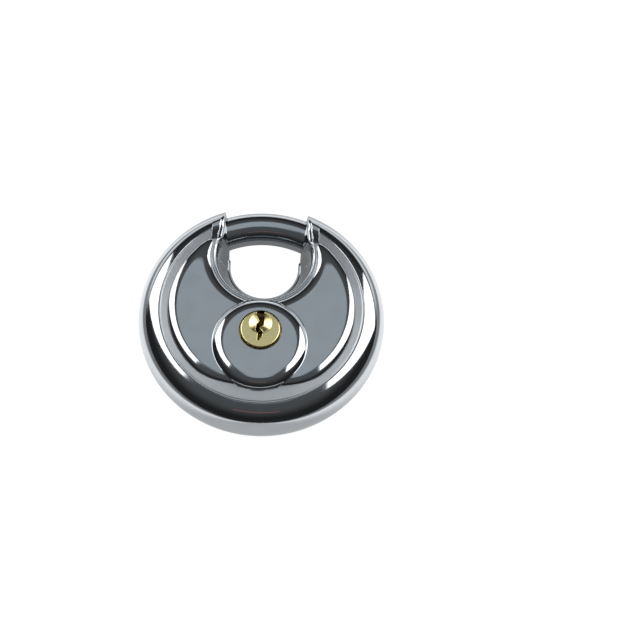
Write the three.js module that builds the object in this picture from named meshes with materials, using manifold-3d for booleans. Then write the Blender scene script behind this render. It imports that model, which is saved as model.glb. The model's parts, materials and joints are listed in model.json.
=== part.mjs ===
// Disc padlock: two drawn stainless shells around a steel lock body, with a curved shackle that
// turns about the disc axis inside the rim, and a brass pin-tumbler cylinder that drives it.
// Millimetres. The lock lies on its back: +Z leaves the front face, the rear face rests on z = 0,
// the disc axis is the Z axis, and +Y points out through the middle of the notch.
import * as THREE from 'three';
import { mergeVertices } from 'three/addons/utils/BufferGeometryUtils.js';
import Module from 'manifold-3d';

const wasm = await Module();
wasm.setup();

// ---- driving dimensions ------------------------------------------------------------------

const DISC_R = 35; // outer radius of the rounded rim
const FACE_R = 28.65; // where the rim meets the flat face
const FACE_H = 8.2; // height of each face from the seam between the shells
const CRESCENT_RISE = 1.3; // raised crescent on each face
const BOSS_RISE = 1.4; // raised boss around the plug, on the front crescent
const WALL = 1.2; // shell thickness
const GAP = 0.3; // clearance between neighbouring pieces
const SEAM = 0.15; // half of the gap between the two shells
const SEAM_Z = FACE_H + CRESCENT_RISE; // so that the rear crescent rests on z = 0

const CRESCENT_R = 26.5;
const CRESCENT_FLAT_R = 47.5; // wide arc that flattens the crescent below the boss
const CRESCENT_FLAT_Y = 23.3; // centre of that arc
const SHOULDER = 3.2; // width of the rounded edge of the crescent and the boss
const BOSS_R = 13.2;
const BOSS_Y = -11.5;

const NOTCH_Y = 16.3; // centre of the round notch
const NOTCH_R = 14; // at the faces
const FRONT_WAIST_R = 10.2; // at the seam, where the drawn notch walls meet
const REAR_WAIST_R = 9.4;
const MOUTH_HALF = 12.2; // half of the mouth at the rim, at the seam
const THROAT = [0.3, 26]; // how much wider than the waist the mouth is here, and where
const MOUTH_TOP_HALF = 12.9; // the same at the faces
const FLANGE = 0.9; // flat strip between the notch and the front crescent
const REAR_FLANGE = 0.4;
const REAR_SHOULDER = 1.5; // the rear crescent's rounded edge along the notch

const ROD_R = 4.65; // shackle bar
const ROD_RING_R = 28.8; // its centre line around the disc axis
const CHANNEL_R = ROD_R + GAP;
const TIP_DEG = 117; // closed shackle, from the tip round to the tail
const TAIL_DEG = -66;
const PIN_DEG = -60; // drive pin in the closed shackle
const PIN_R = 1.4;

const PLUG_Y = -8.2; // axis of the cylinder
const PLUG_R = 5.2;
const HEAD_R = 5.5; // visible head of the plug
const PLUG_TOP = SEAM_Z + FACE_H + CRESCENT_RISE + BOSS_RISE + 0.7;
const PLUG_BOTTOM = 4.75;
const HOLE_R = 6.1; // hole in the boss
const HOUSING_R = 7.6;
const HOUSING_BOTTOM = 4.9;
const HOUSING_TOP = 18.6;
const RIB_HALF = 3; // half width of the rib that holds the pin chambers
const RIB_END = 13.9; // end of the rib from the plug axis
const RIB_TOP = 17.4;

const CHAMBERS = 4;
const CHAMBER_Z = 6.9; // first pin chamber
const CHAMBER_PITCH = 3.1;
const CHAMBER_R = 1.35;
const STACK_PIN_R = 1.05;
const KEY_PIN_LENGTHS = [3.4, 2.7, 3.7, 3.0]; // one key's own pattern
const DRIVER_LENGTH = 2.8;
const SPRING_LENGTH = 3.8;

const CORE_R = 23.6;
const CORE_BOTTOM = 4.8;
const CORE_TOP = 16.2;
const GUARD_R = 21;
const GUARD_TOP = 17.5;
const GUARD_SCREWS = [[-15.2, -1], [15.2, -1], [-11, -14.5], [11, -14.5]];

const ARM_BOTTOM = 3.25;
const ARM_TOP = 4.45;
const ARM_END = 22.3;

// ---- helpers -----------------------------------------------------------------------------

function signedVolume(geometry) {
  const p = geometry.attributes.position;
  const corners = [new THREE.Vector3(), new THREE.Vector3(), new THREE.Vector3()];
  let volume = 0;
  for (let i = 0; i < geometry.index.count; i += 3) {
    corners.forEach((corner, k) => corner.fromBufferAttribute(p, geometry.index.getX(i + k)));
    volume += corners[0].dot(corners[1].cross(corners[2])) / 6;
  }
  return volume;
}

// A closed three.js geometry as a solid, with its faces turned outwards.
function solid(source) {
  const bare = source.clone();
  bare.deleteAttribute('normal');
  bare.deleteAttribute('uv');
  const merged = mergeVertices(bare, 1e-4);
  const triVerts = Uint32Array.from(merged.index.array);
  if (signedVolume(merged) < 0) {
    for (let i = 0; i < triVerts.length; i += 3) {
      [triVerts[i + 1], triVerts[i + 2]] = [triVerts[i + 2], triVerts[i + 1]];
    }
  }
  const vertProperties = Float32Array.from(merged.attributes.position.array);
  return new wasm.Manifold(new wasm.Mesh({ numProp: 3, vertProperties, triVerts }));
}

function geometryOf(manifold) {
  const mesh = manifold.getMesh();
  const geometry = new THREE.BufferGeometry();
  geometry.setAttribute('position', new THREE.BufferAttribute(mesh.vertProperties, 3));
  geometry.setIndex(new THREE.BufferAttribute(mesh.triVerts, 1));
  geometry.computeVertexNormals();
  return geometry;
}

function union(solids) {
  return solids.reduce((sum, next) => sum.add(next));
}

function cut(body, ...tools) {
  return tools.reduce((left, tool) => left.subtract(tool), body);
}

// A ring or disc turned about a vertical axis through (0, y), from [radius, height] pairs.
function turned(profile, y = 0, segments = 64) {
  const points = profile.map(([radius, height]) => new THREE.Vector2(radius, height));
  return new THREE.LatheGeometry(points, segments).rotateX(Math.PI / 2).translate(0, y, 0);
}

function post(radius, bottom, top, x = 0, y = 0, segments = 24) {
  const geometry = new THREE.CylinderGeometry(radius, radius, top - bottom, segments);
  return geometry.rotateX(Math.PI / 2).translate(x, y, (top + bottom) / 2);
}

function block(x0, x1, y0, y1, z0, z1) {
  const geometry = new THREE.BoxGeometry(x1 - x0, y1 - y0, z1 - z0);
  return geometry.translate((x0 + x1) / 2, (y0 + y1) / 2, (z0 + z1) / 2);
}

function outline(points) {
  return new THREE.Shape(points.map(([x, y]) => new THREE.Vector2(x, y)));
}

function slab(shape, bottom, top) {
  const options = { depth: top - bottom, bevelEnabled: false, curveSegments: 8 };
  return new THREE.ExtrudeGeometry(shape, options).translate(0, 0, bottom);
}

// Quarter of an ellipse from [radius, low] up to [radius - width, high], as a rounded shoulder.
function shoulder(radius, width, low, high, steps) {
  return Array.from({ length: steps + 1 }, (_, i) => {
    const angle = (i / steps) * (Math.PI / 2);
    return [radius - width + width * Math.cos(angle), low + (high - low) * Math.sin(angle)];
  });
}

// ---- the drawn shells --------------------------------------------------------------------
// Each shell is worked out with its seam at height 0 and its face upwards. `inset` is 0 for the
// outer surface and WALL for the cavity inside it.

function discForm(inset, segments) {
  const rim = shoulder(DISC_R - inset, DISC_R - FACE_R - inset, 0, FACE_H - inset, 6);
  return solid(turned([[0, 0], ...rim, [0, FACE_H - inset]], 0, segments));
}

function raisedPlate(radius, low, high, inset, y, segments) {
  const edge = shoulder(radius - inset, SHOULDER - inset / 2, low - inset, high - inset, 3);
  return solid(turned([[0, 1], [radius - inset, 1], ...edge, [0, high - inset]], y, segments));
}

// The notch side of a crescent rises from a flat strip, `flange` wide, in a rounded shoulder.
function crescentRelief(inset, flange, notchShoulder) {
  const foot = NOTCH_R + flange + inset;
  const low = FACE_H - inset;
  const width = notchShoulder - inset / 2;
  const edge = shoulder(0, width, low, low + CRESCENT_RISE, 3).map(([r, z]) => [foot - r, z]);
  const top = low + CRESCENT_RISE + 1;
  return solid(turned([[0, low], ...edge, [foot + width, top], [0, top]], NOTCH_Y, 48));
}

function crescent(inset, isFront) {
  const top = FACE_H + CRESCENT_RISE;
  const disc = raisedPlate(CRESCENT_R, FACE_H, top, inset, 0, 56);
  const flattened = raisedPlate(CRESCENT_FLAT_R, FACE_H, top, inset, CRESCENT_FLAT_Y, 96);
  const relief = isFront
    ? crescentRelief(inset, FLANGE, SHOULDER)
    : crescentRelief(inset, REAR_FLANGE, REAR_SHOULDER);
  return disc.intersect(flattened).subtract(relief);
}

function boss(inset) {
  const low = FACE_H + CRESCENT_RISE;
  return raisedPlate(BOSS_R, low, low + BOSS_RISE, inset, BOSS_Y, 40);
}

// The notch narrows from the face to its waist at the seam. `outset` widens it all round.
function notchTool(waist, outset) {
  const top = FACE_H + 6;
  const low = waist + outset;
  const high = NOTCH_R + outset;
  const bowl = turned([[0, 0], [low, 0], [high, FACE_H], [high, top], [0, top]], NOTCH_Y, 40);
  const reach = DISC_R + 5;
  const mouth = outline([
    [-low, NOTCH_Y], [low, NOTCH_Y], [low + THROAT[0], THROAT[1]],
    [MOUTH_HALF + outset, DISC_R - 1], [MOUTH_HALF + outset, reach],
    [-MOUTH_HALF - outset, reach], [-MOUTH_HALF - outset, DISC_R - 1],
    [-low - THROAT[0], THROAT[1]],
  ]);
  const throat = MOUTH_TOP_HALF + outset;
  const section = outline([
    [-low, 0], [low, 0], [throat, FACE_H], [throat, top], [-throat, top], [-throat, FACE_H],
  ]);
  const length = reach - NOTCH_Y;
  const funnel = new THREE.ExtrudeGeometry(section, { depth: length, bevelEnabled: false });
  funnel.rotateX(Math.PI / 2).translate(0, reach, 0);
  return union([solid(bowl), solid(slab(mouth, 0, top)), solid(funnel)]);
}

function channel(radius) {
  const ring = Array.from({ length: 17 }, (_, i) => {
    const angle = (i / 16) * 2 * Math.PI;
    return [ROD_RING_R + radius * Math.cos(angle), i === 16 ? 0 : radius * Math.sin(angle)];
  });
  return solid(turned(ring, 0, 56));
}

function shellForm(inset, isFront, segments) {
  const forms = [discForm(inset, segments), crescent(inset, isFront)];
  return union(isFront ? [...forms, boss(inset)] : forms);
}

function shell(waist, isFront) {
  const outer = shellForm(0, isFront, 64).subtract(notchTool(waist, 0));
  const cavity = shellForm(WALL, isFront, 48).subtract(notchTool(waist, WALL));
  const seamGap = solid(block(-50, 50, -50, 50, -1, SEAM));
  return cut(outer, cavity, channel(CHANNEL_R), seamGap);
}

// Puts a shell-frame geometry in place: side 1 faces the front, side -1 faces the rear.
function placed(geometry, side) {
  return geometryOf(solid(geometry.scale(1, 1, side).translate(0, 0, SEAM_Z)));
}

function frontShell() {
  const whole = shell(FRONT_WAIST_R, true);
  const plugHole = solid(post(HOLE_R, FACE_H - 4, FACE_H + 6, 0, PLUG_Y, 36));
  return placed(geometryOf(whole.subtract(plugHole)), 1);
}

function rearShell() {
  return placed(geometryOf(shell(REAR_WAIST_R, false)), -1);
}

// ---- the lock body and its guard plate ---------------------------------------------------

function notchClearance() {
  const outset = WALL + GAP;
  const front = placed(geometryOf(notchTool(FRONT_WAIST_R, outset)), 1);
  const rear = placed(geometryOf(notchTool(REAR_WAIST_R, outset)), -1);
  return solid(front).add(solid(rear));
}

function cylinderBore() {
  const round = solid(post(HOUSING_R + GAP, 0, 30, 0, PLUG_Y, 32));
  const half = RIB_HALF + GAP;
  const rib = solid(block(-half, half, PLUG_Y - RIB_END - GAP, PLUG_Y, 0, 30));
  return round.add(rib);
}

function screwHoles(radius, bottom, top) {
  return union(GUARD_SCREWS.map(([x, y]) => solid(post(radius, bottom, top, x, y, 16))));
}

function lockBody() {
  const blank = solid(post(CORE_R, CORE_BOTTOM, CORE_TOP, 0, 0, 72));
  const grubHole = new THREE.CylinderGeometry(1.6, 1.6, 20, 16).rotateZ(Math.PI / 2);
  grubHole.translate(-HOUSING_R - 10, PLUG_Y, SEAM_Z);
  const threads = screwHoles(1.5, 9, 30);
  return geometryOf(cut(blank, notchClearance(), cylinderBore(), threads, solid(grubHole)));
}

// One hardened plate on each side of the cylinder; side is -1 on the left and 1 on the right.
function guardPlate(side) {
  const disc = solid(post(GUARD_R, CORE_TOP + GAP, GUARD_TOP, 0, 0, 64));
  const half = side > 0 ? block(0.5, 50, -50, 50, 0, 30) : block(-50, -0.5, -50, 50, 0, 30);
  const blank = disc.intersect(solid(half));
  const reliefR = NOTCH_R + FLANGE + WALL + SHOULDER; // clears the crescent's notch side
  const relief = solid(post(reliefR, 0, 30, 0, NOTCH_Y, 48));
  return geometryOf(cut(blank, relief, cylinderBore(), screwHoles(2.3, 0, 30)));
}

function guardScrew([x, y]) {
  const tip = 9.5;
  const shankR = 1.2;
  const headR = 2;
  const seat = CORE_TOP + GAP;
  const shank = [[0, tip], [shankR, tip], [shankR, seat]];
  const head = [[headR, seat], [headR, GUARD_TOP], [0, GUARD_TOP]];
  const blank = solid(turned([...shank, ...head], 0, 16));
  const slot = solid(block(-3, 3, -0.3, 0.3, GUARD_TOP - 0.5, GUARD_TOP + 1));
  return geometryOf(blank.subtract(slot)).translate(x, y, 0);
}

function grubScrew() {
  const blank = new THREE.CylinderGeometry(1.3, 1.3, 6, 16);
  const socket = new THREE.CylinderGeometry(0.7, 0.7, 2.4, 6).translate(0, 3, 0);
  const screw = geometryOf(solid(blank).subtract(solid(socket))).rotateZ(Math.PI / 2);
  return screw.translate(-HOUSING_R - GAP * 2 - 3, PLUG_Y, SEAM_Z);
}

// ---- the shackle and its drive -----------------------------------------------------------

class RimArc extends THREE.Curve {
  getPoint(t, target = new THREE.Vector3()) {
    const angle = THREE.MathUtils.degToRad(TAIL_DEG + (TIP_DEG - TAIL_DEG) * t);
    return target.set(ROD_RING_R * Math.cos(angle), ROD_RING_R * Math.sin(angle), SEAM_Z);
  }
}

function onRim(degrees) {
  const angle = THREE.MathUtils.degToRad(degrees);
  return [ROD_RING_R * Math.cos(angle), ROD_RING_R * Math.sin(angle)];
}

function shackle() {
  const section = new THREE.Shape().absarc(0, 0, ROD_R, 0, 2 * Math.PI);
  const options = { steps: 28, curveSegments: 8, bevelEnabled: false, extrudePath: new RimArc() };
  const bar = solid(new THREE.ExtrudeGeometry(section, options));
  const [tipX, tipY] = onRim(TIP_DEG);
  const tip = solid(new THREE.SphereGeometry(ROD_R * 0.98, 14, 10).translate(tipX, tipY, SEAM_Z));
  const [pinX, pinY] = onRim(PIN_DEG);
  const pinHole = solid(post(PIN_R + GAP, 0, SEAM_Z + 0.1, pinX, pinY, 16));
  return geometryOf(bar.add(tip).subtract(pinHole));
}

function drivePin() {
  const [x, y] = onRim(PIN_DEG);
  return post(PIN_R, ARM_BOTTOM, SEAM_Z - GAP, x, y, 16);
}

// The arm turns with the plug, and its open slot carries the drive pin round the rim.
function driverArm() {
  const hub = 4.6;
  const half = 3.4;
  const slotHalf = PIN_R + 0.45;
  const slotStart = 20.3;
  const rise = Math.asin(half / hub);
  const shape = new THREE.Shape();
  shape.absarc(0, 0, hub, rise, 2 * Math.PI - rise);
  shape.lineTo(ARM_END, -half);
  shape.lineTo(ARM_END, -slotHalf);
  shape.absarc(slotStart, 0, slotHalf, -Math.PI / 2, Math.PI / 2, true);
  shape.lineTo(ARM_END, slotHalf);
  shape.lineTo(ARM_END, half);
  shape.closePath();
  const [pinX, pinY] = onRim(PIN_DEG);
  const closedAngle = Math.atan2(pinY - PLUG_Y, pinX);
  const plate = solid(slab(shape, ARM_BOTTOM, ARM_TOP).rotateZ(closedAngle));
  const tangSlot = solid(block(-TANG_X - GAP, TANG_X + GAP, -TANG_Y - GAP, TANG_Y + GAP, 0, 9));
  return geometryOf(plate.subtract(tangSlot)).translate(0, PLUG_Y, 0);
}

// ---- the brass cylinder ------------------------------------------------------------------

const TANG_X = 3.2; // half sizes of the tang that turns the arm
const TANG_Y = 1.7;
const TANG_BOTTOM = ARM_BOTTOM + 0.15;
const KEYWAY = [
  [-1.2, 7], [-1.15, 4.1], [-0.4, 3.2], [-0.4, 2.5], [-1.1, 1.8], [-1.3, -0.4], [-0.6, -1.1],
  [-0.7, -3.3], [-0.2, -3.3], [0.5, -2.1], [0.7, -0.6], [0, 0.4], [0, 1.0], [0.85, 1.7], [1.05, 7],
];

function chamberHeights() {
  return Array.from({ length: CHAMBERS }, (_, i) => CHAMBER_Z + i * CHAMBER_PITCH);
}

// Pin chambers run out from the plug along -Y, between two distances from its axis.
function chambers(from, to) {
  return union(chamberHeights().map((z) => {
    const hole = new THREE.CylinderGeometry(CHAMBER_R, CHAMBER_R, to - from, 16);
    return solid(hole.translate(0, PLUG_Y - (from + to) / 2, z));
  }));
}

function cylinderHousing() {
  const round = solid(post(HOUSING_R, HOUSING_BOTTOM, HOUSING_TOP, 0, PLUG_Y, 36));
  const ribEnd = PLUG_Y - RIB_END;
  const rib = solid(block(-RIB_HALF, RIB_HALF, ribEnd, PLUG_Y, HOUSING_BOTTOM, RIB_TOP));
  const bore = solid(post(PLUG_R + GAP, 0, 30, 0, PLUG_Y, 36));
  const seat = solid(post(HEAD_R + GAP, HOUSING_TOP - 0.9, 30, 0, PLUG_Y, 36));
  const coverHalf = 1.7 + GAP;
  const coverSlot = solid(block(-coverHalf, coverHalf, ribEnd - 1, ribEnd + 1.5, 5.5, RIB_TOP + 1));
  return geometryOf(cut(round.add(rib), bore, seat, chambers(4, RIB_END - 1), coverSlot));
}

function chamberCover() {
  const end = PLUG_Y - RIB_END;
  return block(-1.7, 1.7, end, end + 1.1, 5.8, RIB_TOP - 0.2);
}

function cylinderPlug() {
  const seatZ = HOUSING_TOP - 0.9 + GAP;
  const rim = 0.35;
  const profile = [
    [0, PLUG_BOTTOM], [PLUG_R, PLUG_BOTTOM], [PLUG_R, seatZ], [HEAD_R, seatZ],
    [HEAD_R, PLUG_TOP - rim], [HEAD_R - rim, PLUG_TOP], [0, PLUG_TOP],
  ];
  const barrel = solid(turned(profile, 0, 36));
  const tang = solid(block(-TANG_X, TANG_X, -TANG_Y, TANG_Y, TANG_BOTTOM, PLUG_BOTTOM + 1));
  const keyway = solid(slab(outline(KEYWAY), 6, 30));
  const screwHole = solid(post(1.1, 0, 5.4, 0, 0, 16));
  const dish = [[0, PLUG_TOP - 1.1], [1.8, PLUG_TOP - 0.8], [3.2, PLUG_TOP], [3.2, 30], [0, 30]];
  const dimple = solid(turned(dish, 1.75, 32));
  const plug = geometryOf(cut(barrel.add(tang), keyway, screwHole, dimple)).translate(0, PLUG_Y, 0);
  return geometryOf(solid(plug).subtract(chambers(0.4, 7)));
}

function armScrew() {
  const profile = [[0, 1.75], [2.1, 1.75], [2.1, 2.95], [0.8, 2.95], [0.8, 5.1], [0, 5.1]];
  const slot = solid(block(-3, 3, -0.3, 0.3, 1, 2.2));
  return geometryOf(solid(turned(profile, 0, 20)).subtract(slot)).translate(0, PLUG_Y, 0);
}

// Key pins are pointed towards the keyway; their flat ends meet the shear line.
function keyPin(length) {
  const foot = 0.15 - PLUG_R;
  const tip = foot + length;
  const points = [[0, foot], [STACK_PIN_R, foot], [STACK_PIN_R, tip - 0.7], [0.3, tip], [0, tip]];
  const profile = points.map(([r, y]) => new THREE.Vector2(r, y));
  return new THREE.LatheGeometry(profile, 14).translate(0, PLUG_Y, 0);
}

function driverPin() {
  const middle = PLUG_R + GAP + DRIVER_LENGTH / 2;
  const pin = new THREE.CylinderGeometry(STACK_PIN_R, STACK_PIN_R, DRIVER_LENGTH, 14);
  return pin.translate(0, PLUG_Y - middle, 0);
}

class Coil extends THREE.Curve {
  getPoint(t, target = new THREE.Vector3()) {
    const turns = 4;
    const angle = t * 2 * Math.PI * turns;
    const radius = 0.8;
    return target.set(radius * Math.cos(angle), (0.5 - t) * SPRING_LENGTH, radius * Math.sin(angle));
  }
}

function pinSpring() {
  const wire = new THREE.Shape().absarc(0, 0, 0.17, 0, 2 * Math.PI);
  const options = { steps: 32, curveSegments: 3, bevelEnabled: false, extrudePath: new Coil() };
  const middle = PLUG_R + GAP + DRIVER_LENGTH + GAP + 0.2 + SPRING_LENGTH / 2;
  return new THREE.ExtrudeGeometry(wire, options).translate(0, PLUG_Y - middle, 0);
}

// ---- assembly ----------------------------------------------------------------------------

function metal(color, roughness, metalness = 1) {
  return new THREE.MeshStandardMaterial({ color, roughness, metalness });
}

const padlock = new THREE.Group();

function add(name, geometry, material, parent = padlock) {
  const closed = geometryOf(solid(geometry));
  const mesh = new THREE.Mesh(closed, material);
  mesh.name = name;
  parent.add(mesh);
  return mesh;
}

add('front_shell', frontShell(), metal(0x9fa6ad, 0.12));
add('rear_shell', rearShell(), metal(0x9aa1a8, 0.15));
add('lock_body', lockBody(), metal(0x6f757b, 0.45));
add('guard_plate_left', guardPlate(-1), metal(0x555b61, 0.4));
add('guard_plate_right', guardPlate(1), metal(0x555b61, 0.4));
GUARD_SCREWS.forEach((place, i) => {
  add(`guard_screw_${i + 1}`, guardScrew(place), metal(0x4a4d50, 0.4));
});
add('housing_grub_screw', grubScrew(), metal(0x3c3e41, 0.4));
add('shackle', shackle(), metal(0x8d949b, 0.1));
add('drive_pin', drivePin(), metal(0x777c82, 0.3));
add('cylinder_housing', cylinderHousing(), metal(0xb08f4e, 0.35));
add('cylinder_plug', cylinderPlug(), metal(0xcdb765, 0.28));
add('driver_arm', driverArm(), metal(0x7d8287, 0.35));
add('arm_screw', armScrew(), metal(0x5c6064, 0.4));
add('chamber_cover', chamberCover(), metal(0xb7964f, 0.35));

chamberHeights().forEach((z, i) => {
  const stack = new THREE.Group();
  stack.position.z = z;
  padlock.add(stack);
  add(`key_pin_${i + 1}`, keyPin(KEY_PIN_LENGTHS[i]), metal(0xc9a85a, 0.3), stack);
  add(`driver_pin_${i + 1}`, driverPin(), metal(0xa8adb3, 0.3), stack);
  add(`pin_spring_${i + 1}`, pinSpring(), metal(0xb9bdc2, 0.3), stack);
});

export default padlock;
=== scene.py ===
"""Looks of the disc padlock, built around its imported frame. Metres, +Z out of the front face."""
import json
import math
import bmesh
import bpy
import numpy as np
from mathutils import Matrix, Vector

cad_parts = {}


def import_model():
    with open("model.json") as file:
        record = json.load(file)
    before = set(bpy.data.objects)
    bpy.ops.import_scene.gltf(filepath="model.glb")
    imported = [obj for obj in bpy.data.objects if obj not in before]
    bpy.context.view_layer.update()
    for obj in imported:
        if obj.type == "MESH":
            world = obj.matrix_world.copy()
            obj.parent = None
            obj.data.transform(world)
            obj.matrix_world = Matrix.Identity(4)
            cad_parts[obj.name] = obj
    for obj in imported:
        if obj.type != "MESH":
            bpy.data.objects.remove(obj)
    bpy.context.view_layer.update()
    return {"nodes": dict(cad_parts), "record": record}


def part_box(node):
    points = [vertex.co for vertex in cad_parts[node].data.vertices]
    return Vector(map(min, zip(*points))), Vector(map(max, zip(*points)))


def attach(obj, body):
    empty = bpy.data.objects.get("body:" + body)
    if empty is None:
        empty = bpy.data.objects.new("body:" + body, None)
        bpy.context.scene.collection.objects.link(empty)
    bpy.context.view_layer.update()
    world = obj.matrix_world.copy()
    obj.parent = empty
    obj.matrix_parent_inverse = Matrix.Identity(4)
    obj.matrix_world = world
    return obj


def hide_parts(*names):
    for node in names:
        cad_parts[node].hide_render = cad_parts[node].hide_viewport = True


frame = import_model()
MM = 0.001

# ---- sizes, in millimetres ------------------------------------------------------------------


def node_box(name):
    """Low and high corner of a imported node."""
    low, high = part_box(name)
    return np.array(low) / MM, np.array(high) / MM


# From the frame.
CAD_SEAM_GAP = 0.15  # the CAD shells stop this far from the seam
DISC_R = round(float(node_box("rear_shell")[1][0]), 2)
FRONT_TOP = float(node_box("front_shell")[1][2])  # boss face
SEAM_Z = float(node_box("front_shell")[0][2]) - CAD_SEAM_GAP
PLUG_HIGH = node_box("cylinder_plug")[1]
PLUG_TOP = float(PLUG_HIGH[2])
HEAD_R = float(PLUG_HIGH[0])
PLUG_Y = float(PLUG_HIGH[1]) - HEAD_R

# Sheet of the shells.
WALL = 1.2
SEAM_GAP = 0.03

# Flat face, the ring around the crescent, and the rim.
BOSS_RISE = 1.4
CRESCENT_RISE = 1.3
FACE_H = FRONT_TOP - BOSS_RISE - CRESCENT_RISE - SEAM_Z  # flat face above the seam
FACE_R = 28.65  # outer edge of the flat face
RIM_START = math.radians(12.5)  # the rim leaves the ring at an angle
RING_DROP = 0.24  # the ring falls away slightly
RING_INNER = 0.6  # its fall starts this far inside the crescent's outline
RING_OUTER = 0.3  # and ends this far inside the face's edge
RING_FADE = 5.5  # the drop fades out over this much of the rim
GROOVE_DEPTH = 0.13  # shallow groove at the face's edge
GROOVE_INNER, GROOVE_FLOOR, GROOVE_OUTER = -0.5, -0.1, 0.35  # from the face's edge

# Crescent.
CRESCENT_R = 26.5
CRESCENT_FLAT_R = 47.5  # wide arc that flattens the crescent below the boss
CRESCENT_FLAT_Y = 23.3
CRESCENT_BLEND = 1.2  # softness of the corner between the two arcs
SHOULDER = 3.0  # width of the crescent's rounded edge
REAR_SHOULDER = 1.5  # the rear crescent's, along the notch
HORN_ROUND = 3.6  # rounding of the crescent's horns
FOOT = 0.96  # below 1, so that a shoulder's foot is steep and not upright

# Boss.
BOSS_R = 13.2
BOSS_Y = -11.5
BOSS_BLEND = 0.3  # softness of the corner between the boss's foot and the face
# The boss's side: distance in from its foot, and the slope there in degrees.
BOSS_SIDE = [(-1.4, 76), (-0.3, 74), (0.0, 50), (0.35, 42), (0.75, 36), (2.25, 12), (3.35, 0)]

# Notch: a round bottom, and a straight mouth that opens to the rim.
NOTCH_Y = 16.3
NOTCH_R = 14.0
FLANGE = 0.9  # strip between the notch and the front crescent
REAR_FLANGE = 0.4
FRONT_WAIST_R = 10.2  # the notch at the seam
REAR_WAIST_R = 9.75
REAR_STEP_Y = (17.7, 18.5)  # the rear waist steps out to the front's between these
WAIST_TAPER = 0.02  # the waist opens by this slope above the notch's centre
MOUTH_SPREAD = 1.6  # the mouth widens by this much between these two places
SPREAD_Y = (25.0, 33.0)
SPREAD_LIMIT = 1.2  # the widening goes on a little past the second place
MOUTH_Y = 21.5  # the straight mouth leaves the round notch here
MOUTH_TOP_HALF = 13.4  # half of the mouth at the face
MOUTH_TAPER = 0.10  # it closes by this slope towards the rim
MOUTH_BLEND = 0.2
LEAST_FLARE = 0.35  # the notch is at least this much wider at the face than at the seam
WALL_CURVE = 1.15  # exponent of the notch wall's profile
MOUTH_CURVE = 1.0  # added to it in the mouth
MOUTH_CURVE_Y = (-1, 2)  # between these, from HORN_Y
LIP = 0.9  # rounding between the face and the notch wall
MOUTH_LIP = 2.4  # the same rounding beside the shackle
LIP_GROWTH = 1.6  # it grows over this length

# Horns: beside the mouth the rim starts further in.
HORN_X = 15.3  # up to this distance from the middle
HORN_EDGE = 0.15  # half of the step there
HORN_Y = 20.9
HORN_FALL = 0.17  # slope of the face between the end of the ring and the mouth
HORN_REACH = 5  # length of that slope
HORN_FADE = 2.2  # the fall fades out over this much of the rim

# Shackle bar and the channel it runs in.
ROD_R = 4.65
ROD_RING_R = 28.8
TIP_DEG = 117.0
TAIL_DEG = -66.0
TIP_DOME = 0.95  # height of the tip's dome for each unit of the bar's radius
TAIL_EDGE = 0.5  # rounding of the tail
TAIL_EDGE_DEG = 1  # the tail's end lies this far beyond the straight part
CHANNEL_R = 4.93
CHANNEL_REACH = 6  # the shells are cut for the channel only this near to the notch
CHANNEL_Y = 5  # only above this Y
RIM_KEPT = 0.6  # and not within this much of the rim's edge

# Plug.
PLUG_HOLE_R = 6.0
PLUG_RIM = 0.38  # rounding of the head
PLUG_SEAT_Z = 17.98  # underside of the head
DIMPLE_Y = 1.75
DIMPLE_R = 3.2
DIMPLE_DEPTH = 1.05
DIMPLE_SHAPE = 1.6  # exponent of the dish: 1 is a cone, 2 a bowl
KEYWAY_EDGE = 0.18  # width of the worn edge along the keyway
KEYWAY_EDGE_DEPTH = 0.16
KEYWAY = [
    (-1.2, 8.0), (-1.15, 4.1), (-0.4, 3.2), (-0.4, 2.5), (-1.1, 1.8), (-1.3, -0.4), (-0.6, -1.1),
    (-0.7, -3.3), (-0.2, -3.3), (0.5, -2.1), (0.7, -0.6), (0.0, 0.4), (0.0, 1.0), (0.85, 1.7),
    (1.05, 8.0),
]

# How finely the pieces are divided.
SHELL_STEP = 0.8
SHELL_SPOKES = 420
RIM_RINGS = 26
BAR_SIDES = 72
BAR_ROWS = 260
TIP_ROWS = 16
TAIL_ROWS = 6
PLUG_STEP = 0.3
PLUG_SPOKES = 180
BISECTIONS = 24

# ---- plan-view triangle sheets --------------------------------------------------------------
# A sheet is a triangulated plan (points in XY) that is scored along the object's feature lines,
# trimmed to its outline, and then raised to its height. Creases fall exactly on triangle edges.


def polar_plan(radii, spokes):
    """Rings of triangles around the origin."""
    angles = np.linspace(0, 2 * np.pi, spokes, endpoint=False)
    points = [np.zeros((1, 2))]
    for k, r in enumerate(radii):
        turned = angles + (k % 2) * np.pi / spokes
        points.append(np.stack([r * np.cos(turned), r * np.sin(turned)], 1))
    tris = []
    i = np.arange(spokes)
    j = (i + 1) % spokes
    tris.append(np.stack([np.zeros(spokes, int), 1 + i, 1 + j], 1))
    for k in range(len(radii) - 1):
        a, b = 1 + k * spokes, 1 + (k + 1) * spokes
        if k % 2 == 0:
            tris.append(np.stack([a + i, b + i, a + j], 1))
            tris.append(np.stack([b + i, b + j, a + j], 1))
        else:
            tris.append(np.stack([a + i, b + i, b + j], 1))
            tris.append(np.stack([a + i, b + j, a + j], 1))
    return np.concatenate(points), np.concatenate(tris)


def slope(field, x, y, step):
    """Gradient of a field, by central differences."""
    gx = (field(x + step, y) - field(x - step, y)) / (2 * step)
    gy = (field(x, y + step) - field(x, y - step)) / (2 * step)
    return gx, gy


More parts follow.
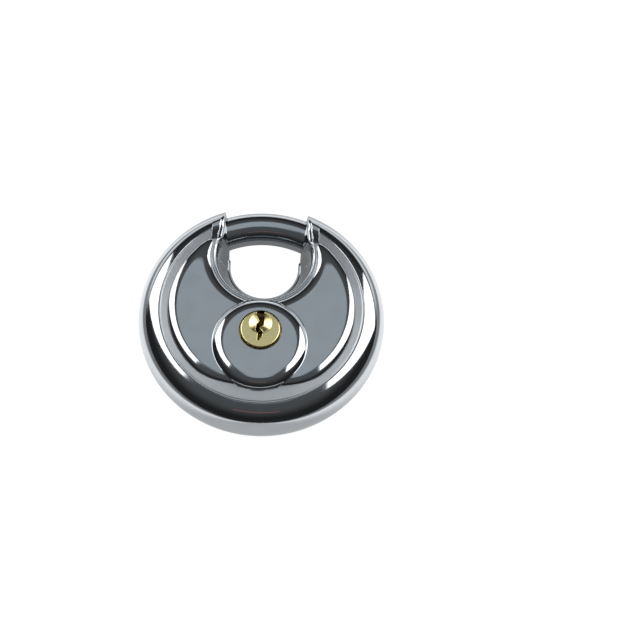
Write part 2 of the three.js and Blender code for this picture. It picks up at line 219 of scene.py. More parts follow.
def score(points, tris, field, snap=0.03):
    """Splits every triangle that the line field = 0 crosses, so that the line becomes edges.

    Points within `snap` of the line are moved onto it, except at the rim, where they have to stay.
    """
    rim_margin, least_slope, step = 0.5, 0.05, 1e-3
    value = field(points[:, 0], points[:, 1])
    near = (np.abs(value) < snap) & (np.hypot(points[:, 0], points[:, 1]) < DISC_R - rim_margin)
    if near.any():
        p = points[near]
        gx, gy = slope(field, p[:, 0], p[:, 1], step)
        length = np.maximum(gx * gx + gy * gy, least_slope)
        move = np.stack([gx, gy], 1) * (value[near] / length)[:, None]
        ok = np.hypot(move[:, 0], move[:, 1]) < 2 * snap
        points = points.copy()
        index = np.flatnonzero(near)[ok]
        points[index] = p[ok] - move[ok]
        value[index] = 0
    sign = np.sign(value)
    low, high = sign[tris].min(1), sign[tris].max(1)
    crossed = (low < 0) & (high > 0)
    keep = tris[~crossed]
    new_points, cache, made = [], {}, []
    count = len(points)

    def crossing(a, b):
        key = (a, b) if a < b else (b, a)
        if key not in cache:
            cache[key] = count + len(new_points)
            new_points.append(key)
        return cache[key]

    for tri in tris[crossed].tolist():
        s = [sign[v] for v in tri]
        if 0 in s:
            k = s.index(0)
            o, a, b = tri[k], tri[(k + 1) % 3], tri[(k + 2) % 3]
            m = crossing(a, b)
            made += [(o, a, m), (o, m, b)]
        else:
            k = [i for i in range(3) if s[i] != s[(i + 1) % 3] and s[i] != s[(i + 2) % 3]][0]
            o, a, b = tri[k], tri[(k + 1) % 3], tri[(k + 2) % 3]
            m, n = crossing(o, a), crossing(o, b)
            made += [(o, m, n), (m, a, b), (m, b, n)]
    if new_points:
        pairs = np.array(new_points)
        a, b = points[pairs[:, 0]], points[pairs[:, 1]]
        lo, hi = np.zeros(len(a)), np.ones(len(a))
        start = np.sign(field(a[:, 0], a[:, 1]))
        for _ in range(BISECTIONS):
            mid = (lo + hi) / 2
            p = a + (b - a) * mid[:, None]
            same = np.sign(field(p[:, 0], p[:, 1])) == start
            lo, hi = np.where(same, mid, lo), np.where(same, hi, mid)
        points = np.concatenate([points, a + (b - a) * ((lo + hi) / 2)[:, None]])
    if made:
        keep = np.concatenate([keep, np.array(made)])
    return points, keep


def score_levels(plan, field, levels, snap=0.03):
    """Scores a plan along the lines where the field takes each of the levels."""
    for level in levels:
        plan = score(*plan, lambda x, y: field(x, y) - level, snap)
    return plan


def trim(points, tris, field):
    """Cuts the plan along field = 0 and keeps the side where the field is positive."""
    points, tris = score(points, tris, field)
    middle = points[tris].mean(1)
    return points, tris[field(middle[:, 0], middle[:, 1]) > 0]


def compact(points, tris):
    """Drops the points that no triangle uses."""
    used, inverse = np.unique(tris, return_inverse=True)
    return points[used], inverse.reshape(tris.shape)


def border_edges(tris):
    """Edges with a triangle on one side only."""
    edges = np.concatenate([tris[:, [0, 1]], tris[:, [1, 2]], tris[:, [2, 0]]])
    keys = dict.fromkeys(map(tuple, edges.tolist()))
    return [(a, b) for a, b in keys if (b, a) not in keys]


def loop_normals(points, tris, height, step=2e-3, inset=0.02):
    """Normals at each triangle corner, taken just inside the triangle so that creases stay sharp."""
    corner = points[tris]
    inside = corner + (corner.mean(1, keepdims=True) - corner) * inset
    gx, gy = slope(height, inside[..., 0].ravel(), inside[..., 1].ravel(), step)
    normals = np.stack([-gx, -gy, np.ones_like(gx)], 1)
    normals /= np.linalg.norm(normals, axis=1, keepdims=True)
    return normals.reshape(-1, 3, 3)


def add_object(name, data):
    obj = bpy.data.objects.new(name, data)
    bpy.context.scene.collection.objects.link(obj)
    return obj


def make_mesh(name, vertices, triangles, normals=None):
    """A smooth-shaded object from vertices in millimetres, with corner normals where given."""
    mesh = bpy.data.meshes.new(name)
    mesh.from_pydata((vertices * MM).tolist(), [], triangles.tolist())
    mesh.validate()
    mesh.polygons.foreach_set("use_smooth", np.ones(len(mesh.polygons), bool))
    if normals is not None and len(mesh.polygons) == len(triangles):
        mesh.normals_split_custom_set(normals.reshape(-1, 3).tolist())
    return add_object(name, mesh)


def thick_sheet(name, points, tris, height, lower, offset, mirrored=False):
    """A closed piece: the raised plan on top, a wall below its border, and an underside.

    `lower` takes the top points and their normals and returns the points of the underside.
    `offset` is the height of the plan's zero, in millimetres.
    """
    points, tris = compact(points, tris)
    top = np.column_stack([points, height(points[:, 0], points[:, 1])])
    normals = loop_normals(points, tris, height)
    mean = np.zeros_like(top)
    np.add.at(mean, tris.ravel(), normals.reshape(-1, 3))
    mean /= np.linalg.norm(mean, axis=1, keepdims=True)
    vertices = np.concatenate([top, lower(top, mean)])
    n = len(top)
    rim = np.array(border_edges(tris))
    a, b = rim[:, 0], rim[:, 1]
    walls = np.concatenate([np.stack([b, a, a + n], 1), np.stack([b, a + n, b + n], 1)])
    triangles = np.concatenate([tris, tris[:, ::-1] + n, walls])
    corner = vertices[walls]
    wall_normal = np.cross(corner[:, 1] - corner[:, 0], corner[:, 2] - corner[:, 0])
    wall_normal /= np.maximum(np.linalg.norm(wall_normal, axis=1, keepdims=True), 1e-12)
    under = -mean[tris[:, ::-1]]
    every = np.concatenate([normals, under, np.repeat(wall_normal[:, None, :], 3, 1)])
    if mirrored:
        vertices = vertices * [1, 1, -1]
        triangles = triangles[:, ::-1]
        every = every[:, ::-1] * [1, 1, -1]
    vertices = vertices + [0, 0, offset]
    used, inverse = np.unique(triangles, return_inverse=True)
    return make_mesh(name, vertices[used], inverse.reshape(triangles.shape), every)


# ---- the drawn shells: heights above the seam -----------------------------------------------


def smooth_min(a, b, k):
    """Smaller of two values, with the corner between them rounded over k."""
    h = np.clip(0.5 + 0.5 * (b - a) / k, 0, 1)
    return b + (a - b) * h - k * h * (1 - h)


def smooth_max(a, b, k):
    return -smooth_min(-a, -b, k)


def radius(x, y, cy=0.0):
    """Distance from the point (0, cy)."""
    return np.hypot(x, y - cy)


def ramp(v, low, high):
    """Smooth step from 0 at `low` to 1 at `high`."""
    t = np.clip((v - low) / (high - low), 0, 1)
    return t * t * (3 - 2 * t)


def rounded(s, width):
    """Rounded shoulder: 0 at the foot, 1 on the flat, steep at the foot."""
    t = np.clip(1 - s / width, 0, 1) * FOOT
    low = math.sqrt(1 - FOOT * FOOT)
    return (np.sqrt(1 - t * t) - low) / (1 - low)


def crescent_inset(x, y, front=True):
    """Distance inside the crescent's outline, with its horns rounded."""
    round_part = CRESCENT_R - radius(x, y)
    flat_part = CRESCENT_FLAT_R - radius(x, y, CRESCENT_FLAT_Y)
    outer = smooth_min(round_part, flat_part, CRESCENT_BLEND)
    if front:
        return smooth_min(outer, radius(x, y, NOTCH_Y) - NOTCH_R - FLANGE, HORN_ROUND)
    inner = (radius(x, y, NOTCH_Y) - NOTCH_R - REAR_FLANGE) * SHOULDER / REAR_SHOULDER
    return smooth_min(outer, inner, HORN_ROUND)


def boss_inset(x, y):
    """Distance inside the boss's foot."""
    return BOSS_R - radius(x, y, BOSS_Y)


# The side's height at each distance in from the foot, summed from its slopes.
side_at = np.linspace(BOSS_SIDE[0][0], BOSS_SIDE[-1][0], 2400)
side_slope = np.tan(np.radians(np.interp(side_at, *zip(*BOSS_SIDE))))
side_height = np.cumsum(side_slope) * (side_at[1] - side_at[0])


def boss_height(x, y):
    """The boss's face and side; below its foot the side carries on down."""
    rise = np.interp(boss_inset(x, y), side_at, side_height - side_height[-1])
    return FACE_H + CRESCENT_RISE + BOSS_RISE + rise


def rim_height(x, y):
    """The flat face, the falling ring, the groove at its edge and the quarter-round rim."""
    r = radius(x, y)
    u = np.clip((r - FACE_R) / (DISC_R - FACE_R), 0, 1)
    sine = math.sin(RIM_START) + u * (1 - math.sin(RIM_START))
    z = FACE_H * np.sqrt(np.clip(1 - sine * sine, 0, 1)) / math.cos(RIM_START)
    beside_mouth = ramp(np.abs(x), HORN_X + HORN_EDGE, HORN_X - HORN_EDGE) * (y > 0)
    ring_width = FACE_R - RING_OUTER - CRESCENT_R + RING_INNER
    fall = np.clip((r - CRESCENT_R + RING_INNER) / ring_width, 0, 1)
    groove = ramp(r, FACE_R + GROOVE_INNER, FACE_R + GROOVE_FLOOR)
    groove = groove * ramp(r, FACE_R + GROOVE_OUTER, FACE_R)
    drop = RING_DROP * fall * ramp(r, FACE_R + RING_FADE, FACE_R)
    drop = drop + GROOVE_DEPTH * groove * (1 - beside_mouth)
    sag = HORN_FALL * np.clip(y - HORN_Y, 0, HORN_REACH)
    sag = sag * ramp(r, FACE_R + HORN_FADE, FACE_R - RING_OUTER)
    return z - drop - sag * beside_mouth


def plate_height(x, y, front):
    """The whole drawn plate, before the notch is cut."""
    z = rim_height(x, y) + CRESCENT_RISE * rounded(crescent_inset(x, y, front), SHOULDER)
    if front:
        on_boss = boss_inset(x, y) > BOSS_SIDE[0][0]
        z = np.where(on_boss, smooth_max(z, boss_height(x, y), BOSS_BLEND), z)
    return z


def waist_half(y, r):
    """Half-width of the notch at the seam above its centre; the rear one steps out to the front's."""
    step = (FRONT_WAIST_R - r) * ramp(y, *REAR_STEP_Y)
    spread = np.clip((y - SPREAD_Y[0]) / (SPREAD_Y[1] - SPREAD_Y[0]), 0, SPREAD_LIMIT)
    return r + step + WAIST_TAPER * (y - NOTCH_Y) + MOUTH_SPREAD * spread ** 2


def waist_distance(x, y, r):
    """Distance outside the notch's waist: a round bottom with sides that open towards the rim."""
    return np.where(y > NOTCH_Y, np.abs(x) - waist_half(y, r), radius(x, y, NOTCH_Y) - r)


def wall_flare(y, r):
    """How much further out the notch is at the face than at the seam."""
    above = np.clip(y - NOTCH_Y, 0, None)
    round_half = np.sqrt(np.clip(NOTCH_R ** 2 - above ** 2, 0, None))
    straight_half = MOUTH_TOP_HALF - MOUTH_TAPER * (y - MOUTH_Y)
    top_half = smooth_max(round_half, straight_half, MOUTH_BLEND)
    return np.maximum(np.where(y > NOTCH_Y, top_half - waist_half(y, r), NOTCH_R - r), LEAST_FLARE)


def wall_share(x, y, r):
    """0 at the foot of the notch wall and 1 at its top."""
    return waist_distance(x, y, r) / wall_flare(y, r)


def wall_height(x, y, r):
    """Height of the notch wall, which carries on upwards above the face."""
    d = wall_share(x, y, r)
    low, high = MOUTH_CURVE_Y
    curve = WALL_CURVE + MOUTH_CURVE * ramp(y, HORN_Y + low, HORN_Y + high)
    return FACE_H * (1 - np.clip(1 - d, 0, None) ** curve) + np.clip(d - 1, 0, None) * FACE_H


def shell_height(r, front):
    """Height of a whole shell, as a function of the place."""
    def height(x, y):
        lip = LIP + (MOUTH_LIP - LIP) * ramp(y, HORN_Y, HORN_Y + LIP_GROWTH)
        return smooth_min(plate_height(x, y, front), wall_height(x, y, r), lip)
    return height


def bar_clearance(height):
    """Positive where a shell of this height stays outside the channel of the shackle bar."""
    clear = 5.0

    def field(x, y):
        ring = np.hypot(radius(x, y) - ROD_RING_R, height(x, y)) - CHANNEL_R
        by_notch = (y > CHANNEL_Y) & (radius(x, y, NOTCH_Y) < NOTCH_R + CHANNEL_REACH)
        return np.where(by_notch & (radius(x, y) < DISC_R - RIM_KEPT), ring, clear)
    return field


def shell_plan():
    """Rings of points, closer together on the crescent's shoulder, in the groove and on the rim."""
    shoulder = CRESCENT_R - SHOULDER + SHOULDER * np.sin(np.linspace(0, np.pi / 2, 9))
    groove = FACE_R + np.array([-0.5, -0.4, -0.3, -0.2, -0.1, 0, 0.09, 0.17, 0.26, 0.35])
    ring = np.linspace(CRESCENT_R + 0.35, FACE_R - 0.8, 4)
    rim = FACE_R + (DISC_R - FACE_R) * np.sin(np.linspace(0.06, np.pi / 2, RIM_RINGS))
    face = np.arange(SHELL_STEP, CRESCENT_R - SHOULDER - 0.5, SHELL_STEP)
    radii = np.unique(np.round(np.concatenate([face, shoulder, ring, groove, rim]), 4))
    return polar_plan(radii, SHELL_SPOKES)


def shell(name, r, front):
    """One drawn shell; `r` is the radius of its notch at the seam. The rear one faces down."""
    height = shell_height(r, front)
    horn_low, horn_r, elsewhere = 15, 32, 99.0
    shoulder_levels = SHOULDER * (1 - np.cos(np.linspace(0, np.pi / 2, 8)))
    boss_levels = (-0.45, -0.3, -0.15, 0, 0.12, 0.25, 0.4, 0.6, 0.85, 1.15, 1.5, 1.9, 2.4, 2.9, 3.35)

    def horn_side(x, y):
        return np.where((y > horn_low) & (radius(x, y) < horn_r), np.abs(x), elsewhere)

    plan = shell_plan()
    plan = score_levels(plan, lambda x, y: crescent_inset(x, y, front), shoulder_levels, 0.05)
    plan = score_levels(
        plan, lambda x, y: waist_distance(x, y, r) - wall_flare(y, r), np.linspace(-0.8, 1.3, 15), 0.04)
    plan = score_levels(plan, lambda x, y: wall_share(x, y, r), np.linspace(0.15, 0.75, 5), 0.02)
    plan = score_levels(plan, horn_side, (HORN_X - HORN_EDGE, HORN_X, HORN_X + HORN_EDGE))
    if front:
        plan = score_levels(plan, boss_inset, boss_levels, 0.05)
        plan = trim(*plan, lambda x, y: radius(x, y, PLUG_Y) - PLUG_HOLE_R)
    plan = trim(*plan, lambda x, y: waist_distance(x, y, r))
    plan = trim(*plan, bar_clearance(height))

    def inner(top, normal):
        low = top - normal * WALL
        low[:, 2] = np.maximum(low[:, 2], SEAM_GAP)
        return low

    def raised(x, y):
        return SEAM_GAP + height(x, y) * (1 - SEAM_GAP / FACE_H)

    return thick_sheet(name, *plan, raised, inner, SEAM_Z, mirrored=not front)


# ---- the shackle bar ------------------------------------------------------------------------


def swept_bar(name):
    """The round bar along its arc, with a domed tip and a flat, slightly rounded tail."""
    radii, angles = [], []
    for k in range(TIP_ROWS):
        t = k / TIP_ROWS * math.pi / 2
        radii.append(ROD_R * math.sin(t))
        angles.append(math.radians(TIP_DEG) + ROD_R * TIP_DOME * math.cos(t) / ROD_RING_R)
    for angle in np.radians(np.linspace(TIP_DEG, TAIL_DEG + TAIL_EDGE_DEG, BAR_ROWS)):
        radii.append(ROD_R)
        angles.append(angle)
    for k in range(1, TAIL_ROWS + 1):
        t = k / TAIL_ROWS * math.pi / 2
        radii.append(ROD_R - TAIL_EDGE + TAIL_EDGE * math.cos(t))
        angles.append(math.radians(TAIL_DEG + TAIL_EDGE_DEG) - TAIL_EDGE * math.sin(t) / ROD_RING_R)
    radii.append(0.0)
    angles.append(angles[-1])
    radii, angles = np.array(radii), np.array(angles)
    turn = np.linspace(0, 2 * np.pi, BAR_SIDES, endpoint=False)
    ring = ROD_RING_R + radii[:, None] * np.cos(turn)
    x = ring * np.cos(angles)[:, None]
    y = ring * np.sin(angles)[:, None]
    z = SEAM_Z + radii[:, None] * np.sin(turn)
    vertices = np.stack([x, y, z], -1)
    first, last = vertices[0, :1], vertices[-1, :1]
    body = vertices[1:-1].reshape(-1, 3)
    rows = len(radii) - 2
    i = np.arange(BAR_SIDES)
    j = (i + 1) % BAR_SIDES
    tris = []
    for k in range(rows - 1):
        a, b = k * BAR_SIDES, (k + 1) * BAR_SIDES
        tris.append(np.stack([a + i, a + j, b + i], 1))
        tris.append(np.stack([a + j, b + j, b + i], 1))
    end = (rows - 1) * BAR_SIDES
    tip, tail = rows * BAR_SIDES, rows * BAR_SIDES + 1
    tris.append(np.stack([i * 0 + tip, j, i], 1))
    tris.append(np.stack([i * 0 + tail, end + i, end + j], 1))
    return make_mesh(name, np.concatenate([body, first, last]), np.concatenate(tris))


# ---- the plug -------------------------------------------------------------------------------


def keyway_distance(x, y):
    """Signed distance to the keyway's outline, positive outside it."""
    corners = np.array(KEYWAY)
    best = np.full(x.shape, 1e9)
    inside = np.zeros(x.shape, bool)
    for (ax, ay), (bx, by) in zip(corners, np.roll(corners, -1, 0)):
        dx, dy = bx - ax, by - ay
        t = np.clip(((x - ax) * dx + (y - ay) * dy) / (dx * dx + dy * dy), 0, 1)
        best = np.minimum(best, np.hypot(x - ax - t * dx, y - ay - t * dy))
        if dy != 0:
            crosses = ((ay > y) != (by > y)) & (x < dx * (y - ay) / dy + ax)
            inside ^= crosses
    return np.where(inside, -best, best)


def plug_height(x, y):
    """The head's face, below its top: a rounded rim, a dish, and the worn edge of the keyway."""
    u = np.clip((np.hypot(x, y) - HEAD_R + PLUG_RIM) / PLUG_RIM, 0, 1)
    rim = PLUG_RIM * (1 - np.sqrt(np.clip(1 - u ** 2, 0, 1)))
    q = radius(x, y, DIMPLE_Y) / DIMPLE_R
    dish = DIMPLE_DEPTH * np.clip(1 - q ** DIMPLE_SHAPE, 0, None)
    edge = KEYWAY_EDGE_DEPTH * np.clip(1 - keyway_distance(x, y) / KEYWAY_EDGE, 0, 1) ** 2
    return -rim - dish - edge


def plug(name):
    """The plug's head, down to its seat, with the keyway cut through it."""
    flat_r = HEAD_R - PLUG_RIM
    radii = np.concatenate([
        np.arange(PLUG_STEP, flat_r, PLUG_STEP),
        flat_r + PLUG_RIM * np.sin(np.linspace(0, np.pi / 2, 6)),
    ])
    dish_levels = (DIMPLE_R, DIMPLE_R - 0.2, 2.6, 2.2, 1.8, 1.2)
    plan = polar_plan(radii, PLUG_SPOKES)
    plan = score_levels(plan, lambda x, y: radius(x, y, DIMPLE_Y), dish_levels, 0.02)
    plan = score_levels(plan, keyway_distance, (KEYWAY_EDGE, 0.12, 0.06), 0.015)
    plan = trim(*plan, keyway_distance)

    def seat(top, normal):
        r = np.hypot(top[:, 0], top[:, 1])
        scale = np.minimum(1, HEAD_R / np.maximum(r, 1e-6))
        z = np.full(len(top), PLUG_SEAT_Z - PLUG_TOP)
        return np.column_stack([top[:, 0] * scale, top[:, 1] * scale, z])

    obj = thick_sheet(name, *plan, plug_height, seat, PLUG_TOP)
    for vertex in obj.data.vertices:
        vertex.co.y += PLUG_Y * MM
    return obj


def plug_barrel(name):
    """The plug below its head, with its pin chambers and tang as they are in the frame."""
    source = frame["nodes"]["cylinder_plug"]
    work = bmesh.new()
    work.from_mesh(source.data)
    work.transform(source.matrix_world)
    bmesh.ops.remove_doubles(work, verts=work.verts, dist=1e-6)
    whole = work.verts[:] + work.edges[:] + work.faces[:]
    cut = bmesh.ops.bisect_plane(
        work, geom=whole, plane_co=(0, 0, PLUG_SEAT_Z * MM), plane_no=(0, 0, 1), clear_outer=True)
    rim = [item for item in cut["geom_cut"] if isinstance(item, bmesh.types.BMEdge)]
    bmesh.ops.triangle_fill(work, edges=rim, use_beauty=True)
    mesh = bpy.data.meshes.new(name)
    work.to_mesh(mesh)
    work.free()
    return add_object(name, mesh)


# ---- materials ------------------------------------------------------------------------------

STEEL_BASE = (0.42, 0.44, 0.46)
STEEL_DULL = (0.36, 0.375, 0.39)
SATIN_ROUGHNESS = 0.34  # added to the polish on the flat ring round the crescent


def shader(name, base, metallic, roughness):
    """A new material, its node tree and its Principled BSDF."""
    material = bpy.data.materials.new(name)
    material.use_nodes = True
    tree = material.node_tree
    bsdf = tree.nodes["Principled BSDF"]
    bsdf.inputs["Base Color"].default_value = (*base, 1)
    bsdf.inputs["Metallic"].default_value = metallic
    bsdf.inputs["Roughness"].default_value = roughness
    return material, tree, bsdf


def node(tree, kind, **settings):
    made = tree.nodes.new(kind)
    for key, value in settings.items():
        setattr(made, key, value)
    return made


def link(tree, source, target):
    tree.links.new(source, target)


def value(tree, operation, a, b=None):
    """A Math node; each of a and b is a number or another node's output."""
    made = node(tree, "ShaderNodeMath", operation=operation)
    for slot, item in zip(made.inputs, (a, b)):
        if item is None:
            continue
        if isinstance(item, (int, float)):
            slot.default_value = item
        else:
            link(tree, item, slot)
    return made.outputs[0]


def product(tree, first, *others):
    for other in others:
        first = value(tree, "MULTIPLY", first, other)
    return first


def band(tree, x, span, result):
    """Smooth step: result[0] where x is at span[0], and result[1] where it is at span[1]."""
    made = node(tree, "ShaderNodeMapRange", interpolation_type="SMOOTHSTEP")
    link(tree, x, made.inputs["Value"])
    for name, number in zip(("From Min", "From Max", "To Min", "To Max"), (*span, *result)):
        made.inputs[name].default_value = number
    return made.outputs["Result"]


def noise(tree, scale, detail=3.0, vector=None):
    made = node(tree, "ShaderNodeTexNoise")
    made.inputs["Scale"].default_value = scale
    made.inputs["Detail"].default_value = detail
    if vector is not None:
        link(tree, vector, made.inputs["Vector"])
    return made.outputs["Fac"]


def object_place(tree):
    return node(tree, "ShaderNodeTexCoord").outputs["Object"]


def split_axes(tree, vector):
    """X, Y and Z of a vector."""
    axes = node(tree, "ShaderNodeSeparateXYZ")
    link(tree, vector, axes.inputs["Vector"])
    return axes.outputs["X"], axes.outputs["Y"], axes.outputs["Z"]


def stretched(tree, vector, scale):
    made = node(tree, "ShaderNodeMapping")
    made.inputs["Scale"].default_value = scale
    link(tree, vector, made.inputs["Vector"])
    return made.outputs["Vector"]


def bump(tree, bsdf, height, strength, distance):
    made = node(tree, "ShaderNodeBump")
    made.inputs["Strength"].default_value = strength
    made.inputs["Distance"].default_value = distance
    link(tree, height, made.inputs["Height"])
    link(tree, made.outputs["Normal"], bsdf.inputs["Normal"])


def colour_mix(tree, factor, a, b):
    """Colour a where the factor is 0, and b where it is 1."""
    mix = node(tree, "ShaderNodeMix", data_type="RGBA")
    link(tree, factor, mix.inputs["Factor"])
    mix.inputs["A"].default_value = (*a, 1)
    mix.inputs["B"].default_value = (*b, 1)
    return mix.outputs["Result"]


def cloudy(tree, bsdf, place, scale, base, dull, amount):
    """Base colour that drifts between two tones in soft clouds."""
    clouds = band(tree, noise(tree, scale, 5.0, place), (0.35, 0.8), (0.0, amount))
    link(tree, colour_mix(tree, clouds, base, dull), bsdf.inputs["Base Color"])


def satin_mask(tree, place):
    """1 on the flat ring round the crescent, on either side of the mouth, and 0 elsewhere."""
    x, y, z = split_axes(tree, place)
    r = value(tree, "SQRT", value(tree, "ADD", value(tree, "POWER", x, 2.0), value(tree, "POWER", y, 2.0)))
    flat = (SEAM_Z + FACE_H) * MM
    low = band(tree, z, (flat + 0.00004, flat + 0.00012), (1.0, 0.0))
    inside = band(tree, r, ((FACE_R - 0.1) * MM, (FACE_R + 0.15) * MM), (1.0, 0.0))
    outside = band(tree, r, ((CRESCENT_R - 3.0) * MM, (CRESCENT_R - 2.6) * MM), (0.0, 1.0))
    aside = value(tree, "ABSOLUTE", x)
    beside_mouth = band(tree, aside, ((HORN_X - 0.1) * MM, (HORN_X + 0.1) * MM), (0.0, 1.0))
    below_mouth = band(tree, y, ((HORN_Y - 0.3) * MM, HORN_Y * MM), (1.0, 0.0))
    clear = value(tree, "MAXIMUM", beside_mouth, below_mouth)
    return product(tree, low, inside, outside, clear)


def polished_steel():
    """Polished drawn stainless: mirror-like, with faint polishing haze and hairline scratches.
    The flat ring round the crescent is left satin."""
    material, tree, bsdf = shader("polished_steel", STEEL_BASE, 1.0, 0.06)
    place = object_place(tree)
    cloudy(tree, bsdf, place, 210.0, STEEL_BASE, STEEL_DULL, 0.35)
    haze = band(tree, noise(tree, 90.0, 4.0, place), (0.35, 0.75), (0.055, 0.11))
    hairs = noise(tree, 1.0, 2.0, stretched(tree, place, (300, 5200, 300)))
    polish = value(tree, "ADD", haze, value(tree, "MULTIPLY", hairs, 0.03))
    satin = value(tree, "MULTIPLY", satin_mask(tree, place), SATIN_ROUGHNESS)
    link(tree, value(tree, "ADD", polish, satin), bsdf.inputs["Roughness"])
    bump(tree, bsdf, noise(tree, 420.0, 2.0, place), 0.02, 0.0002)
    return material


def shackle_steel():
    """Polished bar stock, with a faint haze and a fine ripple."""
    material, tree, bsdf = shader("shackle_steel", STEEL_BASE, 1.0, 0.07)
    place = object_place(tree)
    cloudy(tree, bsdf, place, 260.0, STEEL_BASE, STEEL_DULL, 0.4)
    haze = band(tree, noise(tree, 160.0, 4.0, place), (0.3, 0.8), (0.05, 0.13))
    link(tree, haze, bsdf.inputs["Roughness"])
    bump(tree, bsdf, noise(tree, 700.0, 2.0, place), 0.03, 0.0002)
    return material


def brass(name, base, roughness, wear):
    """Machined brass with a fine grain and faint tarnish."""
    material, tree, bsdf = shader(name, base, 1.0, roughness)
    place = object_place(tree)
    dull = (base[0] * 0.72, base[1] * 0.62, base[2] * 0.5)
    cloudy(tree, bsdf, place, 260.0, base, dull, wear)
    grain = noise(tree, 1500.0, 3.0, place)
    rough = band(tree, grain, (0.3, 0.75), (roughness * 0.8, roughness * 1.3))
    link(tree, rough, bsdf.inputs["Roughness"])
    bump(tree, bsdf, grain, 0.03, 0.0001)
    return material


def plain_steel(name, base, roughness):
    """Machined inner steel with a fine grain."""
    material, tree, bsdf = shader(name, base, 1.0, roughness)
    place = object_place(tree)
    cloudy(tree, bsdf, place, 300.0, base, (base[0] * 0.7, base[1] * 0.68, base[2] * 0.66), 0.6)
    grain = noise(tree, 1200.0, 4.0, place)
    rough = band(tree, grain, (0.3, 0.75), (roughness * 0.75, roughness * 1.25))
    link(tree, rough, bsdf.inputs["Roughness"])
    bump(tree, bsdf, grain, 0.1, 0.0001)
    return material


# ---- pieces ---------------------------------------------------------------------------------


def skin(piece, node_name, body, material):
    """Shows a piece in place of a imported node, on the body it moves with."""
    piece.data.materials.append(material)
    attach(piece, body)
    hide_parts(node_name)


steel = polished_steel()
plug_brass = brass("plug_brass", (0.80, 0.70, 0.35), 0.25, 0.16)
front_skin = shell("front_shell_skin", FRONT_WAIST_R, front=True)
rear_skin = shell("rear_shell_skin", REAR_WAIST_R, front=False)
skin(front_skin, "front_shell", "casing", steel)
skin(rear_skin, "rear_shell", "casing", steel)
skin(swept_bar("shackle_skin"), "shackle", "shackle_bar", shackle_steel())
skin(plug("plug_skin"), "cylinder_plug", "plug", plug_brass)
skin(plug_barrel("plug_barrel"), "cylinder_plug", "plug", plug_brass)

INNER_MATERIALS = {
    "body_steel": plain_steel("body_steel", (0.42, 0.44, 0.46), 0.38),
    "dark_steel": plain_steel("dark_steel", (0.16, 0.17, 0.18), 0.42),
    "spring_steel": plain_steel("spring_steel", (0.62, 0.63, 0.65), 0.25),
    "housing_brass": brass("housing_brass", (0.62, 0.50, 0.26), 0.32, 0.5),
    "plug_brass": plug_brass,
    "polished_steel": steel,
    "shackle_steel": steel,
}
for row in frame["record"]["subparts"]:
    mesh = frame["nodes"][row["node"]].data
    mesh.materials.clear()
    mesh.materials.append(INNER_MATERIALS[row["material_slot"]])

# ---- stage, in metres and degrees -----------------------------------------------------------

FLOOR_HALF = 4.0
FLOOR_SEEN = 0.95
BOX_DISTANCE = 0.8
CAMERA_ELEVATION = 65.35
CAMERA_AZIMUTH = 2.72
CAMERA_DISTANCE = 0.495
VIEW_WIDTH = 0.1822  # at the lock
SENSOR = 36.0
PAN_RIGHT, PAN_DOWN = 0.0166, 0.00025


def seen_or_mirrored(tree, seen, mirrored):
    """Strength `seen` where the floor or backdrop is looked at, `mirrored` in reflections."""
    looked_at = node(tree, "ShaderNodeLightPath").outputs["Is Camera Ray"]
    reflected = value(tree, "MULTIPLY", mirrored, value(tree, "SUBTRACT", 1.0, looked_at))
    return value(tree, "ADD", value(tree, "MULTIPLY", looked_at, seen), reflected)


def floor():
    """White table that glows. Looked at, it glows evenly; in reflections its glow is painted light,
    which grows from its near half to its far half and beside the lock, and is dim far to the sides,
    with a painted shadow under the notch."""
    mesh = bpy.data.meshes.new("floor")
    s = FLOOR_HALF
    mesh.from_pydata([(-s, -s, 0), (s, -s, 0), (s, s, 0), (-s, s, 0)], [], [(0, 1, 2, 3)])
    obj = add_object("floor", mesh)
    material, tree, bsdf = shader("floor_white", (0.3, 0.3, 0.3), 0.0, 0.8)
    x, y, _ = split_axes(tree, object_place(tree))
    aside = value(tree, "ABSOLUTE", x)
    # Painted light in reflections: the table's glow grows towards its far half and beside the lock, and
    # dims far to the sides.
    near_to_far = band(tree, y, (0.05, 0.32), (0.62, 1.9))
    beside_lock = band(tree, aside, (0.022, 0.05), (0.0, 0.7))
    not_far_aside = band(tree, aside, (0.060, 0.085), (1.0, 0.1))
    # Painted shadow: in reflections the table's glow is dimmed under the notch, where the lock shades it.
    from_notch = node(tree, "ShaderNodeVectorMath", operation="DISTANCE")
    link(tree, object_place(tree), from_notch.inputs[0])
    from_notch.inputs[1].default_value = (0, NOTCH_Y * MM, 0)
    painted_notch_shadow = band(tree, from_notch.outputs["Value"], (0.013, 0.026), (0.36, 1.0))
    painted_table_glow = product(tree, value(tree, "ADD", near_to_far, beside_lock), not_far_aside, painted_notch_shadow)
    bsdf.inputs["Emission Color"].default_value = (1, 1, 1, 1)
    link(tree, seen_or_mirrored(tree, FLOOR_SEEN, painted_table_glow), bsdf.inputs["Emission Strength"])
    obj.data.materials.append(material)


def direction(azimuth, elevation):
    """Unit vector; azimuth from +X towards +Y, elevation above the floor, in degrees."""
    a, e = math.radians(azimuth), math.radians(elevation)
    return Vector((math.cos(a) * math.cos(e), math.sin(a) * math.cos(e), math.sin(e)))


def set_axes(obj, x_axis, y_axis, z_axis, location):
    """Puts an object at a location, with its own axes along the given ones."""
    matrix = obj.matrix_world.to_3x3()
    matrix.col[0], matrix.col[1], matrix.col[2] = x_axis, y_axis, z_axis
    obj.matrix_world = matrix.to_4x4()
    obj.location = location


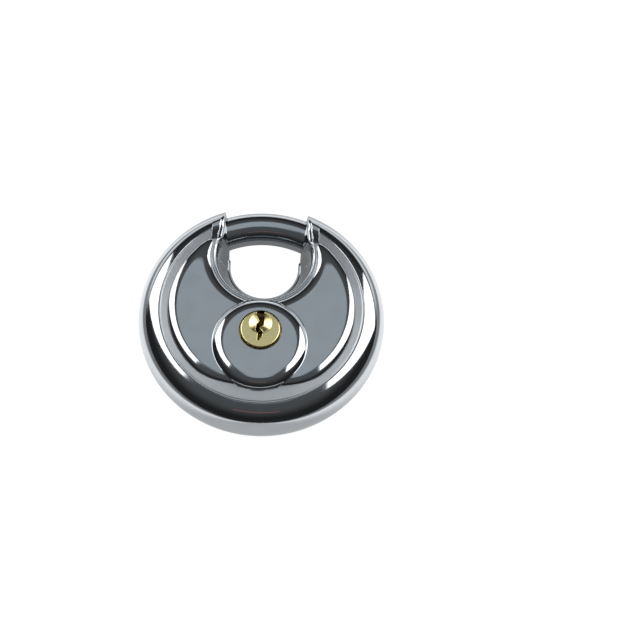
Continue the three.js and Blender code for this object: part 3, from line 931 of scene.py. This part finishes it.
def soft_box(name, azimuth, elevation, width, length, lean, radiance, color=(1, 1, 1)):
    """A rectangular soft light facing the lock. Its width and length are for each unit of its
    distance, and `lean` turns its long side, in degrees."""
    out = direction(azimuth, elevation)
    side = Vector((0, 0, 1)).cross(out).normalized()
    upright = out.cross(side)
    t = math.radians(lean)
    long_axis = upright * math.cos(t) + side * math.sin(t)
    light = bpy.data.lights.new(name, "AREA")
    light.shape = "RECTANGLE"
    light.color = color
    light.size, light.size_y = width * BOX_DISTANCE, length * BOX_DISTANCE
    light.energy = radiance * math.pi * light.size * light.size_y
    obj = add_object(name, light)
    set_axes(obj, long_axis.cross(out), long_axis, out, out * BOX_DISTANCE)


def world():
    """A dark studio with a pale panel overhead, just behind the lock, and a pale sweep far behind."""
    w = bpy.data.worlds.new("studio")
    w.use_nodes = True
    tree = w.node_tree
    background = tree.nodes["Background"]
    across, away, up = split_axes(tree, node(tree, "ShaderNodeTexCoord").outputs["Generated"])
    dome = band(tree, up, (0.35, 0.98), (0.03, 0.15))
    high = band(tree, up, (0.850, 0.895), (0.0, 1.0))
    behind = band(tree, away, (-0.18, -0.05), (0.0, 0.55))
    in_line = band(tree, value(tree, "ABSOLUTE", across), (0.11, 0.20), (1.0, 0.0))
    panel = product(tree, high, behind, in_line)
    low = band(tree, up, (0.12, 0.27), (1.0, 0.0))
    sweep = value(tree, "MULTIPLY", low, band(tree, away, (0.30, 0.65), (0.0, 1.3)))
    light = value(tree, "ADD", value(tree, "ADD", dome, panel), sweep)
    link(tree, seen_or_mirrored(tree, 1.0, light), background.inputs["Strength"])
    tint = colour_mix(tree, high, (0.96, 0.98, 1.0), (0.86, 0.94, 1.0))
    link(tree, tint, background.inputs["Color"])
    bpy.context.scene.world = w


def camera():
    """Long lens from above the front, panned so that the lock sits left of the middle."""
    elevation, azimuth = math.radians(CAMERA_ELEVATION), math.radians(CAMERA_AZIMUTH)
    cam = bpy.data.cameras.new("camera")
    cam.sensor_width = SENSOR
    cam.lens = SENSOR * CAMERA_DISTANCE / VIEW_WIDTH
    cam.clip_start = 0.01
    back = Vector((
        math.sin(azimuth) * math.cos(elevation), -math.cos(azimuth) * math.cos(elevation),
        math.sin(elevation)))
    right = Vector((math.cos(azimuth), math.sin(azimuth), 0))
    up = back.cross(right)
    middle = Vector((0, 0, SEAM_Z * MM))
    eye = middle + back * CAMERA_DISTANCE
    aim = middle + right * PAN_RIGHT - up * PAN_DOWN
    out = (eye - aim).normalized()
    across = up.cross(out).normalized()
    obj = add_object("camera", cam)
    set_axes(obj, across, out.cross(across), out, eye)
    bpy.context.scene.camera = obj


floor()
world()
soft_box("warm_card", azimuth=-92, elevation=48, width=0.45, length=0.05, lean=0, radiance=0.30,
         color=(1, 0.3, 0.25))
soft_box("left_softbox", azimuth=150, elevation=43, width=0.50, length=1.06, lean=20, radiance=3.0)
soft_box("right_softbox", azimuth=22, elevation=43, width=0.62, length=1.10, lean=-20, radiance=3.0)
camera()
bpy.context.scene.view_settings.view_transform = "Standard"
